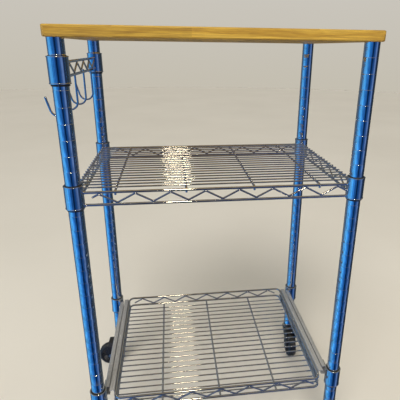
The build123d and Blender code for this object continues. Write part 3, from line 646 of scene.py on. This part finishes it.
def make_shelf():
    """Fixed shelf between the posts; gives back its weld beads."""
    beads = Shape()
    reach, bead_reach = COLLAR_RADIUS - COLLAR_WELD, COLLAR_RADIUS + FRAME_BEAD_OUT
    zig_reach = COLLAR_RADIUS - WELD
    for node, z in (("shelf_rim_wires", SHELF_BASE_Z + TRUSS_HEIGHT), ("shelf_base_wires", SHELF_BASE_Z)):
        shape = Shape()
        for s in (-1, 1):
            wire(shape, [(-POST_X + reach, s * POST_Y, z), (POST_X - reach, s * POST_Y, z)], RIM, 18)
            wire(shape, [(s * POST_X, -POST_Y + reach, z), (s * POST_X, POST_Y - reach, z)], RIM, 18)
            for t in (-1, 1):
                bead(beads, (t * (POST_X - bead_reach), s * POST_Y, z), *FRAME_BEAD)
                bead(beads, (t * POST_X, s * (POST_Y - bead_reach), z), *FRAME_BEAD)
        dress(shape, node)
    shape = Shape()
    long_points = zigzag_points(SHELF_ZIGZAG_START, POST_X - zig_reach, SHELF_ZIGZAG_PEAK, SHELF_BASE_Z)
    short_points = zigzag_points(zig_reach - POST_Y, POST_Y - zig_reach, ZIGZAG_STEP, SHELF_BASE_Z)
    for s in (-1, 1):
        def front(u, z, y=s * POST_Y):
            return (u, y, z)

        def flank(u, z, x=s * POST_X):
            return (x, u, z)

        zigzag(shape, long_points, front)
        zigzag(shape, short_points, flank)
        weld_zigzag(beads, long_points, SHELF_BASE_Z, front)
        weld_zigzag(beads, short_points, SHELF_BASE_Z, flank)
    dress(shape, "shelf_zigzag_wires")
    rim_top = SHELF_BASE_Z + TRUSS_HEIGHT + RIM
    shape = Shape()
    for y in evenly(POST_Y, SHELF_DECK_GAPS):
        z = rim_top + DECK - WELD
        wire(shape, [(-POST_X - RIM, y, z), (POST_X + RIM, y, z)], DECK)
        for x in (-POST_X, *SHELF_CROSS_X, POST_X):
            bead(beads, (x, y, rim_top - SHELF_DECK_BEAD_SUNK), *SHELF_DECK_BEAD)
    dress(shape, "shelf_deck_wires")
    shape = Shape()
    z, foot = rim_top - CROSS, rim_top - RIM - CROSS_FOOT
    bend_to_rim, bend_below_rim = CROSS_BEND + CROSS + RIM - WELD, CROSS_BEND + CROSS - RIM
    y = POST_Y + CROSS_BEND - math.sqrt(bend_to_rim**2 - bend_below_rim**2)
    for x in SHELF_CROSS_X:
        wire(shape, rounded_path([(x, -y, foot), (x, -y, z), (x, y, z), (x, y, foot)], CROSS_BEND), CROSS)
    dress(shape, "shelf_cross_wires")
    return beads


def make_hook_rail(beads):
    """Rail between the left posts with its four hooks."""
    reach, bead_reach = COLLAR_RADIUS - COLLAR_WELD, COLLAR_RADIUS + FRAME_BEAD_OUT
    for level, z in (("upper", HOOK_BASE_Z + TRUSS_HEIGHT), ("lower", HOOK_BASE_Z)):
        shape = Shape()
        wire(shape, [(-POST_X, -POST_Y + reach, z), (-POST_X, POST_Y - reach, z)], RIM, 18)
        for s in (-1, 1):
            bead(beads, (-POST_X, s * (POST_Y - bead_reach), z), *FRAME_BEAD)
        dress(shape, "hook_rail_%s_wire" % level)

    def flank(u, z):
        return (-POST_X, u, z)

    half = POST_Y - COLLAR_RADIUS + WELD
    points = zigzag_points(-half, half, ZIGZAG_STEP, HOOK_BASE_Z)
    shape = Shape()
    zigzag(shape, points, flank)
    weld_zigzag(beads, points, HOOK_BASE_Z, flank)
    dress(shape, "hook_rail_zigzag")
    shape = Shape()
    shank = -POST_X - RIM - HOOK + WELD
    centre = shank - HOOK_BEND
    for y in HOOK_Y:
        path = [(shank, y, HOOK_BASE_Z + HOOK_OVERLAP), (shank, y, HOOK_CENTRE_Z + HOOK_SHANK_END)]
        for k in range(HOOK_STEPS + 1):
            a = (math.pi - HOOK_FLARE) * k / HOOK_STEPS
            path.append((centre + HOOK_BEND * math.cos(a), y, HOOK_CENTRE_Z - HOOK_BEND * math.sin(a)))
        rise = HOOK_TIP_Z + HOOK - path[-1][2]
        path.append((path[-1][0] - rise * math.tan(HOOK_FLARE), y, HOOK_TIP_Z + HOOK))
        wire(shape, path, HOOK, 16)
        bead(beads, (shank + HOOK, y, HOOK_BASE_Z), *HOOK_BEAD)
    dress(shape, "hooks")


def make_tray():
    """Pull-out tray; gives back its weld beads."""
    beads = Shape()
    corners = rectangle(-TRAY_X, TRAY_X, -TRAY_Y, TRAY_Y)
    for node, z in (("tray_rim_wire", TRAY_BASE_Z + TRUSS_HEIGHT), ("tray_base_wire", TRAY_BASE_Z)):
        shape = Shape()
        loop = rounded_path([(x, y, z) for x, y in corners], TRAY_CORNER, 10, closed=True)
        wire(shape, loop, RIM, 18, closed=True)
        dress(shape, node)
    shape = Shape()
    half_x, half_y = TRAY_X - TRAY_CORNER, TRAY_Y - TRAY_CORNER
    long_points = zigzag_points(-half_x, half_x, TRAY_ZIGZAG_PEAK, TRAY_BASE_Z)
    short_points = zigzag_points(-half_y, half_y, 0.0, TRAY_BASE_Z)
    for s in (-1, 1):
        def front(u, z, y=s * TRAY_Y):
            return (u, y, z)

        def flank(u, z, x=s * TRAY_X):
            return (x, u, z)

        zigzag(shape, long_points, front)
        zigzag(shape, short_points, flank)
        weld_zigzag(beads, long_points, TRAY_BASE_Z, front)
        weld_zigzag(beads, short_points, TRAY_BASE_Z, flank)
    dress(shape, "tray_zigzag_wires")
    deck_z = TRAY_BASE_Z - RIM - DECK + WELD
    shape = Shape()
    for y in evenly(TRAY_Y, TRAY_DECK_GAPS):
        wire(shape, [(-TRAY_X - RIM, y, deck_z), (TRAY_X + RIM, y, deck_z)], DECK)
        for x in (-TRAY_X, *TRAY_CROSS_X, TRAY_X):
            bead(beads, (x, y, deck_z + DECK), *TRAY_DECK_BEAD)
    dress(shape, "tray_deck_wires")
    shape = Shape()
    z, y = deck_z + DECK + CROSS - WELD, TRAY_Y - RIM + WELD
    for x in TRAY_CROSS_X:
        wire(shape, [(x, -y, z), (x, y, z)], CROSS)
        for s in (-1, 1):
            bead(beads, (x, s * y, z), *CROSS_BEAD)
    dress(shape, "tray_cross_wires")
    return beads


def finish_beads(shape, name, body):
    piece = shape.build(name)
    paint(piece, "chrome_wire")
    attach(piece, body)


# ---------------------------------------------------------------- slides
def make_slides():
    """Bent sheet rails and their rollers on both sides."""
    half = SHEET / 2
    for label, s in (("left", -1), ("right", 1)):
        wall, lip = s * (OUTER_X - half), s * (OUTER_X - OUTER_WIDTH)
        low, high = OUTER_Z[0] + half, OUTER_Z[1] - half
        outline = sheet_outline([(lip, low), (wall, low), (wall, high), (lip, high)], SHEET, SHEET_BEND)
        shape = Shape()
        prism(shape, outline, -OUTER_Y, OUTER_Y, SHEET_EDGE, XZ_ALONG_Y)
        dress(shape, "outer_rail_" + label)
        wall, lip, foot = s * (INNER_X + half), s * (INNER_X + INNER_WIDTH), s * (INNER_X + INNER_FOOT)
        low, high = INNER_Z[0] + half, INNER_Z[1] - half
        outline = sheet_outline([(foot, low), (wall, low), (wall, high), (lip, high)], SHEET, INNER_BEND)
        shape = Shape()
        prism(shape, outline, -INNER_Y, INNER_Y, SHEET_EDGE, XZ_ALONG_Y)
        dress(shape, "inner_rail_" + label)
        for kind, (radius, near, far, y, z) in ROLLERS.items():
            shape = Shape()
            profile = tube_profile(0, far - near, radius, PIN_RADIUS + ROLLER_GAP, ROLLER_ROUND)
            lathe(shape, profile, along((s * near, y, z), (s, 0, 0)))
            dress(shape, "%s_roller_%s" % (kind, label))


def make_pins():
    """Roller axles with domed heads, and the rivets that hold the fixed rails."""
    dome = [(0.01, PIN_HEAD), (1.6, PIN_HEAD), (2.9, PIN_HEAD * 0.8), (PIN_HEAD_RADIUS, PIN_HEAD * 0.25)]
    fixed, moving, rivets = Shape(), Shape(), Shape()

    def shaft(length):
        return [(0.01, -length), (PIN_RADIUS, -length), (PIN_RADIUS, 0), (PIN_HEAD_RADIUS, 0)]

    for s in (-1, 1):
        radius, near, far, y, z = ROLLERS["fixed"]
        length = OUTER_X - SHEET - near + ROLLER_END_GAP
        place = along((s * (near - ROLLER_END_GAP), y, z), (-s, 0, 0))
        lathe(fixed, shaft(length) + dome[::-1], place, 32, closed=False)
        radius, near, far, y, z = ROLLERS["moving"]
        length = far + ROLLER_END_GAP - INNER_X - SHEET
        place = along((s * (far + ROLLER_END_GAP), y, z), (s, 0, 0))
        lathe(moving, shaft(length) + [(r, h / 2) for r, h in dome[::-1]], place, 32, closed=False)
        for t in (-1, 1):
            for y in RIVET_Y:
                x0, length = s * (OUTER_X - SHEET), SHEET + TAB_X[1] - TAB_X[0] + RIVET_HEAD
                lathe(rivets, solid_profile(0, length, RIVET_RADIUS, RIVET_ROUND),
                      along((x0, t * y, sum(TAB_Z) / 2), (s, 0, 0)), 24, closed=False)
    dress(fixed, "fixed_roller_pins")
    dress(moving, "moving_roller_pins")
    dress(rivets, "slide_rivets")


# ---------------------------------------------------------------- casters
def under_post(corner):
    x, y = CORNERS[corner]
    return Matrix.Translation((x, y, 0)) @ Matrix.Rotation(CASTER_TURN[corner], 4, "Z")


def keep_common(piece, cutter):
    """Leave what two closed pieces share, with the result in the first one's mesh."""
    cut = piece.modifiers.new("common", "BOOLEAN")
    cut.operation, cut.solver, cut.object = "INTERSECT", "EXACT", cutter
    bpy.context.view_layer.update()
    result = bpy.data.meshes.new_from_object(piece.evaluated_get(bpy.context.evaluated_depsgraph_get()))
    piece.modifiers.clear()
    piece.data = result
    bpy.data.objects.remove(cutter)


def make_fork(corner):
    """One stamped sheet: a channel bent round the wheel, cut to slanting arms."""
    place = under_post(corner)
    half, top = FORK_OUTER - FORK_SHEET / 2, FORK_TOP[1] - FORK_SHEET / 2
    bent = [(-half, FORK_LOW), (-half, top), (half, top), (half, FORK_LOW)]
    channel = Shape()
    prism(channel, sheet_outline(bent, FORK_SHEET, FORK_BEND), *FORK_REACH, 0.3, place @ YZ_ALONG_X)
    cut = Shape()
    prism(cut, flat(FORK_ARM, FORK_ARM_ROUND), -20.0, 20.0, 0.5, place @ XZ_ALONG_Y)
    cutter = cut.build("fork_cutter")
    piece = dress(channel, "caster_fork_" + corner)
    keep_common(piece, cutter)
    extras = Shape()
    lathe(extras, FORK_CROWN, place, 48)
    boss = solid_profile(0, FORK_SHEET + BOSS_HEIGHT, BOSS_RADIUS, BOSS_ROUND)
    for s in (-1, 1):
        middle = (TRAIL, s * (FORK_OUTER - FORK_SHEET), WHEEL_RADIUS)
        lathe(extras, boss, place @ along(middle, (0, s, 0)), 40, closed=False)
    if corner in BRAKES:
        pin = solid_profile(-FORK_OUTER, FORK_OUTER, PIVOT_PIN, 0.4)
        lathe(extras, pin, place @ along((PIVOT_X, 0, PIVOT_Z), (0, 1, 0)), 24, closed=False)
    joined = extras.build("fork_extras")
    merge(piece, joined)


def merge(piece, extra):
    """Add another object's mesh to a piece."""
    work = bmesh.new()
    work.from_mesh(piece.data)
    work.from_mesh(extra.data)
    work.to_mesh(piece.data)
    work.free()
    bpy.data.objects.remove(extra)
    piece.data.set_sharp_from_angle(angle=SHARP)


def make_wheel(corner):
    """Moulded wheel: crowned tread with a parting line, recessed sides with ribs."""
    shape = Shape()
    place = under_post(corner) @ along((TRAIL, 0, WHEEL_RADIUS), (0, 1, 0))
    bend = [math.pi / 2 * k / 6 for k in range(7)]
    flank = WHEEL_HALF - TREAD_ROUND
    shoulder = [(WHEEL_RADIUS - TREAD_ROUND + TREAD_ROUND * math.cos(a), flank + TREAD_ROUND * math.sin(a))
                for a in bend]
    floor = WHEEL_HALF - RECESS_DEPTH
    side = shoulder + [(RECESS_RADIUS + 0.4, WHEEL_HALF), (RECESS_RADIUS, WHEEL_HALF - 0.4),
                       (RECESS_RADIUS - 0.8, floor + 0.8), (RECESS_RADIUS - 1.8, floor),
                       (HUB_RADIUS + 1.2, floor), (HUB_RADIUS, floor + 1.2),
                       (HUB_RADIUS - 0.2, WHEEL_HALF - 0.5), (HUB_RADIUS - 0.7, WHEEL_HALF),
                       (WHEEL_BORE, WHEEL_HALF)]
    line = [(WHEEL_RADIUS, PARTING_HALF), (WHEEL_RADIUS - PARTING_DEPTH, 0.0), (WHEEL_RADIUS, -PARTING_HALF)]
    profile = [(r, -h) for r, h in reversed(side)] + line[::-1] + side
    lathe(shape, profile, place, segments=96)
    rib_outline = flat(rectangle(HUB_RADIUS - 0.5, RECESS_RADIUS, -RIB_HALF, RIB_HALF), 0.5, 2)
    rib_top = WHEEL_HALF - RIB_BELOW_RIM
    for k in range(RIBS_PER_SIDE):
        turn = place @ Matrix.Rotation(2 * math.pi * k / RIBS_PER_SIDE, 4, "Z")
        prism(shape, rib_outline, floor - 1, rib_top, RIB_ROUND, turn)
        prism(shape, rib_outline, -rib_top, 1 - floor, RIB_ROUND, turn)
    dress(shape, "caster_wheel_" + corner)


def make_axle(corner):
    """Bolt with a hexagon head at one end and a nut on a threaded stub at the other."""
    shape = Shape()
    middle = (TRAIL, 0, WHEEL_RADIUS)
    place = under_post(corner) @ along(middle, (0, 1, 0))
    lathe(shape, solid_profile(-FORK_OUTER, FORK_OUTER, AXLE_RADIUS, 0.3), place, 32, closed=False)
    for s in (-1, 1):
        facing = under_post(corner) @ along(middle, (0, s, 0))
        washer = solid_profile(FORK_OUTER, FORK_OUTER + AXLE_WASHER, AXLE_HEAD_RADIUS, 0.2)
        lathe(shape, washer, facing, 40, closed=False)
        low, high = FORK_OUTER + AXLE_WASHER, FORK_OUTER + AXLE_HEAD - 0.3
        prism(shape, hexagon(AXLE_HEX), low, high, 0.35, facing)
    start = FORK_OUTER + THREAD_FROM
    thread = [(THREAD_RADII[k % 2], start + THREAD_STEP * k) for k in range(3)]
    lathe(shape, [(0.01, start)] + thread + [(0.01, FORK_OUTER + AXLE_HEAD)], place, 24, closed=False)
    dress(shape, "caster_axle_" + corner)


def make_stems():
    """Threaded stem, rivet washer, domed bearing cap and hexagon nut under each post."""
    shape = Shape()
    for x, y in CORNERS.values():
        place = Matrix.Translation((x, y, 0))
        lathe(shape, solid_profile(*STEM_Z, STEM_RADIUS, STEM_ROUND), place, 32, closed=False)
        lathe(shape, STEM_CAP, place, 56)
        lathe(shape, STEM_WASHER, place, 40)
        prism(shape, hexagon(NUT_RADIUS), *NUT_Z, NUT_EDGE, place)
    dress(shape, "caster_stems")


def make_sockets():
    """Plastic insert in each post's lower end, with a flange under the tube."""
    shape = Shape()
    low, high = SOCKET_Z
    flange_top = POST_Z["lower"][0]
    profile = [(STEM_RADIUS, low), (SOCKET_RADIUS - SOCKET_LIP, low), (SOCKET_RADIUS, low + SOCKET_LIP),
               (SOCKET_RADIUS, flange_top - 0.5), (SOCKET_RADIUS - 0.5, flange_top),
               (SOCKET_BODY, flange_top), (SOCKET_BODY, high - 1),
               (SOCKET_BODY - SOCKET_LIP, high), (STEM_RADIUS, high)]
    for x, y in CORNERS.values():
        lathe(shape, profile, Matrix.Translation((x, y, 0)), 56)
    dress(shape, "caster_sockets")


def make_pedal(corner):
    """Brake pedal: a barrel on the pin, a ribbed tread plate and a shoe over the wheel."""
    shape, place = Shape(), under_post(corner)
    top = PIVOT_Z + BARREL_RADIUS
    barrel = tube_profile(-PEDAL_HALF, PEDAL_HALF, BARREL_RADIUS, PIVOT_PIN + PIVOT_GAP, 0.4)
    lathe(shape, barrel, place @ along((PIVOT_X, 0, PIVOT_Z), (0, 1, 0)), 40)
    tread = flat(rectangle(PIVOT_X, PEDAL_REACH, -PEDAL_HALF, PEDAL_HALF), PEDAL_CORNER)
    prism(shape, tread, top - PEDAL_SHEET, top - TREAD_BELOW, 0.5, place)
    ridge_y = PEDAL_HALF - RIDGE_INSET
    for k in range(RIDGES):
        x = PEDAL_REACH - RIDGE_FROM - RIDGE_STEP * k
        ridge = flat(rectangle(x - RIDGE_HALF, x + RIDGE_HALF, -ridge_y, ridge_y), 0.5, 3)
        prism(shape, ridge, top - RIDGE_HEIGHT, top, 0.3, place)
    shoe, shoe_y = flat(rectangle(*SHOE_X, SHOE_LOW, top - SHOE_BELOW), 0.8), PEDAL_HALF - SHOE_INSET
    prism(shape, shoe, -shoe_y, shoe_y, 0.4, place @ XZ_ALONG_Y)
    dress(shape, "brake_pedal_" + corner)


# ---------------------------------------------------------------- studio
BACKDROP_RADIUS = 9000.0
HORIZON, SKY, SKY_HEIGHT = (0.550, 0.513, 0.430), (0.600, 0.575, 0.530), 3.0
STREAK_SCALE, STREAK_RISE, STREAKS = 9.0, 0.12, ((0.36, 0.45), (0.50, 1.0), (0.64, 1.35))
TO_ROOF, ROOF = (0.34, 0.60), (0.30, 0.270, 0.20)         # upward part of a direction, colour there
TO_GROUND, GROUND = (-0.72, -0.95), (0.16, 0.15, 0.135)   # the same for the downward part

# What plating mirrors by compass angle: degrees clockwise from -Y seen from above, and a colour
SURROUND = [
    (0, (0.002, 0.010, 0.040)),
    (8, (0.004, 0.028, 0.100)),
    (14, (0.022, 0.120, 0.380)),
    (35, (0.026, 0.180, 0.560)),
    (58, (0.060, 0.360, 0.860)),
    (80, (0.130, 0.500, 0.960)),
    (100, (0.100, 0.360, 0.700)),
    (116, (0.050, 0.130, 0.270)),
    (138, (0.140, 0.190, 0.250)),
    (160, (0.110, 0.130, 0.140)),
    (202, (0.100, 0.115, 0.125)),
    (225, (0.060, 0.072, 0.080)),
    (250, (0.024, 0.034, 0.042)),
    (276, (0.016, 0.028, 0.056)),
    (290, (0.030, 0.060, 0.150)),
    (304, (0.150, 0.260, 0.540)),
    (316, (0.080, 0.150, 0.330)),
    (330, (0.016, 0.070, 0.240)),
    (346, (0.006, 0.040, 0.140)),
    (360, (0.002, 0.010, 0.040)),
]
SUNS = [                     # name, place, aim, strength, angle, colour
    ("front_sun", (-0.5, -1.4, 1.9), (0.0, 0.0, 0.0), 2.25, 0.55, (1.0, 0.95, 0.87)),
]
LAMPS = [                    # name, place, size, aim, power, colour, mirrored in plating
    ("key_softbox", (0.5, -1.7, 2.3), (1.8, 1.4), (0.0, 0.0, 0.4), 8.0, (1.0, 0.95, 0.87), False),
    ("top_softbox", (0.0, 0.3, 2.7), (2.4, 2.0), (0.0, 0.0, 0.0), 6.0, (1.0, 0.97, 0.93), False),
    ("left_softbox", (-2.2, -0.3, 1.2), (1.6, 1.4), (0.0, 0.0, 0.5), 5.0, (0.72, 0.87, 1.0), False),
    ("lamp", (-0.05, -1.7, 1.9), (0.18, 0.26), (-0.1, 0.0, 0.4), 5.0, (1.0, 0.86, 0.60), True),
]
CAMERA_PLACE = (-0.0816, -0.8306, 0.8555)
CAMERA_HEADING, CAMERA_PITCH, CAMERA_ROLL = -0.1427, 0.3465, 0.0127
CAMERA_LENS, CAMERA_SHIFT = 37.01, (-0.0731, -0.0081)


def make_backdrop():
    """Pale floor and a dome that only the camera sees, so that plating mirrors the surround."""
    rise = [math.pi / 2 * k / 24 for k in range(25)]
    floor_shape, dome_shape = Shape(), Shape()
    lathe(floor_shape, [(0.01, 0), (BACKDROP_RADIUS, 0)], segments=96, closed=False)
    dome = [(BACKDROP_RADIUS * max(math.cos(a), 1e-4), BACKDROP_RADIUS * math.sin(a)) for a in rise]
    lathe(dome_shape, dome, segments=96, closed=False)
    floor, shell = floor_shape.build("studio_floor"), dome_shape.build("studio_dome")
    floor.data.materials.append(make_floor())
    g = Finish("pale_backdrop")
    g.set(Base_Color=(0.0, 0.0, 0.0, 1.0), Roughness=1.0, Emission_Strength=1.0)
    height = g.add("ShaderNodeSeparateXYZ", Vector=g.place).outputs["Z"]
    g.set(Emission_Color=g.ramp(g.math("DIVIDE", height, SKY_HEIGHT), [(0.0, HORIZON), (1.0, SKY)]))
    shell.data.materials.append(g.material)
    shell.visible_diffuse = shell.visible_shadow = False
    for piece in (floor, shell):
        piece.visible_glossy = False


def make_surround():
    """What the plating mirrors: colours by compass angle, a dark roof and a warm ground."""
    world = bpy.data.worlds.new("studio_surround")
    bpy.context.scene.world = world
    g = Graph(world, "Background", "Generated")
    direction = g.add("ShaderNodeSeparateXYZ", Vector=g.place).outputs
    swapped = g.add("ShaderNodeCombineXYZ", X=direction["Y"], Y=direction["X"]).outputs["Vector"]
    turn = g.add("ShaderNodeTexGradient", {"gradient_type": "RADIAL"}, Vector=swapped).outputs["Fac"]
    around = g.ramp(turn, [(azimuth / 360, colour) for azimuth, colour in SURROUND])
    streaks = g.ramp(g.noise(STREAK_SCALE, 3.0, g.stretched((1.0, 1.0, STREAK_RISE))), STREAKS)
    colour = g.mix(1.0, around, streaks, "MULTIPLY")
    for (start, end), other in ((TO_ROOF, ROOF), (TO_GROUND, GROUND)):
        share = g.add("ShaderNodeMapRange", {"interpolation_type": "SMOOTHSTEP"},
                      Value=direction["Z"], From_Min=start, From_Max=end)
        colour = g.mix(share.outputs["Result"], colour, other)
    g.set(Color=colour)


def add_light(name, kind, place, aim, power, colour):
    light = bpy.data.lights.new(name, kind)
    light.energy, light.color = power, colour
    lamp = bpy.data.objects.new(name, light)
    lamp.location = place
    lamp.rotation_euler = (Vector(aim) - Vector(place)).to_track_quat("-Z", "Y").to_euler()
    lamp.visible_camera = False
    bpy.context.scene.collection.objects.link(lamp)
    return lamp


def make_lights():
    for name, place, aim, power, spread, colour in SUNS:
        lamp = add_light(name, "SUN", place, aim, power, colour)
        lamp.data.angle = spread
        lamp.visible_glossy = False
    for name, place, size, aim, power, colour, mirrored in LAMPS:
        lamp = add_light(name, "AREA", place, aim, power, colour)
        lamp.data.shape = "RECTANGLE"
        lamp.data.size, lamp.data.size_y = size
        lamp.visible_glossy = mirrored


def make_camera():
    camera = bpy.data.objects.new("camera", bpy.data.cameras.new("camera"))
    camera.data.sensor_width, camera.data.lens = 36.0, CAMERA_LENS
    camera.data.shift_x, camera.data.shift_y = CAMERA_SHIFT
    camera.data.clip_start, camera.data.clip_end = 0.01, 60.0
    turn = (Matrix.Rotation(CAMERA_HEADING, 4, "Z")
            @ Matrix.Rotation(math.pi / 2 - CAMERA_PITCH, 4, "X")
            @ Matrix.Rotation(CAMERA_ROLL, 4, "Z"))
    camera.matrix_world = Matrix.Translation(CAMERA_PLACE) @ turn
    bpy.context.scene.collection.objects.link(camera)
    bpy.context.scene.camera = camera
    bpy.context.scene.view_settings.view_transform = "Standard"


# ---------------------------------------------------------------- the cart
LEFT = ("fl", "bl")
make_wood_top()
make_posts()
for node, low, corners in (("hook_rail", HOOK_COLLAR_Z, LEFT), ("shelf", SHELF_COLLAR_Z, CORNERS),
                           ("slide", SLIDE_COLLAR_Z, CORNERS)):
    make_collars(node + "_collars", low, corners)
    make_sleeves(node + "_sleeves", low, corners)
cart_beads = make_shelf()
make_hook_rail(cart_beads)
finish_beads(cart_beads, "cart_weld_beads", "cart")
finish_beads(make_tray(), "tray_weld_beads", "tray")
make_slides()
make_pins()
make_stems()
make_sockets()
for corner in CORNERS:
    make_fork(corner)
    make_wheel(corner)
    make_axle(corner)
for corner in BRAKES:
    make_pedal(corner)
for node in ("top_plugs", "top_studs", "post_connectors"):
    paint(frame["nodes"][node], SLOT_OF[node])

make_backdrop()
make_surround()
make_lights()
make_camera()
